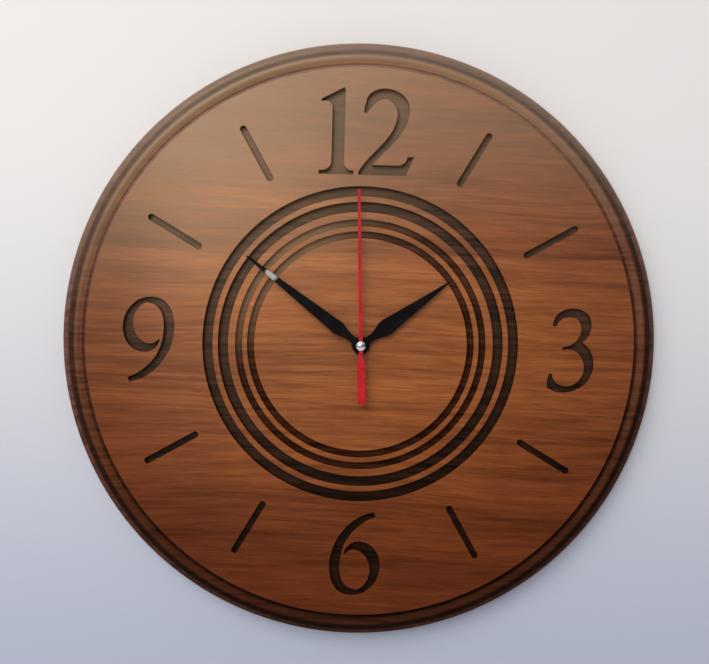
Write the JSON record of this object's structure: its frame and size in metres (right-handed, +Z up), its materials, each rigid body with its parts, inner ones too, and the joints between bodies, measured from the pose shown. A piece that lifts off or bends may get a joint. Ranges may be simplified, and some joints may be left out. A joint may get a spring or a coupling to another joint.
{
  "type": "wall clock",
  "caption": "Round routed wooden wall clock with sunk numerals, ring grooves, a beaded rim, three hands and a battery quartz movement let into its back.",
  "frame": {"origin": "middle of the keyhole's round entry, on the wall plane at the back of the board", "axes": "+Z up towards 12, +Y out of the back into the wall, +X to the right as seen from the front"},
  "size_m": [0.3999, 0.0355, 0.4],
  "materials": {
    "walnut": "satin lacquer",
    "black_lacquer": "gloss black lacquer",
    "red_lacquer": "gloss red lacquer",
    "bright_cap": "polished",
    "black_nut": "black plated",
    "black_washer": "matte",
    "zinc_steel": "zinc plated",
    "black_plastic": "matte",
    "black_rubber": "matte",
    "white_plastic": "satin",
    "green_plastic": "satin",
    "magnet_steel": "plain",
    "soft_iron": "plain",
    "copper_wire": "enamelled copper",
    "circuit_laminate": "brown laminate",
    "crystal_metal": "bright",
    "chip_resin": "gloss resin",
    "battery_sleeve": "gloss sleeve over steel",
    "contact_spring": "nickel plated"
  },
  "bodies": {
    "clock_body": {"dial_board": "walnut", "hanger_plate": "zinc_steel", "hanger_screws": "zinc_steel", "movement_front_case": "black_plastic", "movement_rear_cover": "black_plastic", "movement_gasket": "black_rubber", "middle_plate": "white_plastic", "stem_nut": "black_nut", "stem_washer": "black_washer", "stator": "soft_iron", "coil_core": "soft_iron", "coil_bobbin": "green_plastic", "coil_winding": "copper_wire", "circuit_board": "circuit_laminate", "crystal_can": "crystal_metal", "chip_cover": "chip_resin", "battery_cell": "battery_sleeve", "contact_positive": "contact_spring", "contact_negative": "contact_spring"},
    "minute_group": {"minute_hand": "black_lacquer", "centre_wheel": "white_plastic"},
    "hour_group": {"hour_hand": "black_lacquer", "hour_wheel": "white_plastic"},
    "second_group": {"second_hand": "red_lacquer", "second_hand_cap": "bright_cap", "seconds_wheel": "white_plastic"},
    "minute_work_group": {"minute_work_wheel": "white_plastic"},
    "third_group": {"third_wheel": "white_plastic"},
    "fifth_group": {"fifth_wheel": "white_plastic"},
    "rotor_group": {"rotor": "magnet_steel"},
    "knob_group": {"setting_knob": "white_plastic"}
  },
  "joints": [
    {"name": "minute_turn", "type": "hinge", "parent": "clock_body", "child": "minute_group", "pos_m": [0, 0, -0.12], "axis": [0, 1, 0], "continuous": true},
    {"name": "hour_turn", "type": "hinge", "parent": "clock_body", "child": "hour_group", "pos_m": [0, 0, -0.12], "axis": [0, 1, 0], "continuous": true},
    {"name": "second_turn", "type": "hinge", "parent": "clock_body", "child": "second_group", "pos_m": [0, 0, -0.12], "axis": [0, 1, 0], "continuous": true},
    {"name": "minute_work_turn", "type": "hinge", "parent": "clock_body", "child": "minute_work_group", "pos_m": [-0.0096, 0, -0.12], "axis": [0, 1, 0], "continuous": true},
    {"name": "third_turn", "type": "hinge", "parent": "clock_body", "child": "third_group", "pos_m": [0.0102, 0, -0.12], "axis": [0, 1, 0], "continuous": true},
    {"name": "fifth_turn", "type": "hinge", "parent": "clock_body", "child": "fifth_group", "pos_m": [-0.0049, 0, -0.11151], "axis": [0, 1, 0], "continuous": true},
    {"name": "rotor_turn", "type": "hinge", "parent": "clock_body", "child": "rotor_group", "pos_m": [-0.00322, 0, -0.10525], "axis": [0, 1, 0], "continuous": true},
    {"name": "knob_turn", "type": "hinge", "parent": "clock_body", "child": "knob_group", "pos_m": [-0.015, 0, -0.11065], "axis": [0, 1, 0], "continuous": true}
  ],
  "couplings": [
    {"joint": "hour_turn", "follows": "minute_turn", "ratio": 0.083333},
    {"joint": "minute_work_turn", "follows": "minute_turn", "ratio": -0.33333},
    {"joint": "knob_turn", "follows": "minute_turn", "ratio": 0.66667},
    {"joint": "third_turn", "follows": "minute_turn", "ratio": -8},
    {"joint": "second_turn", "follows": "minute_turn", "ratio": 60},
    {"joint": "fifth_turn", "follows": "minute_turn", "ratio": -360},
    {"joint": "rotor_turn", "follows": "minute_turn", "ratio": 1800}
  ]
}
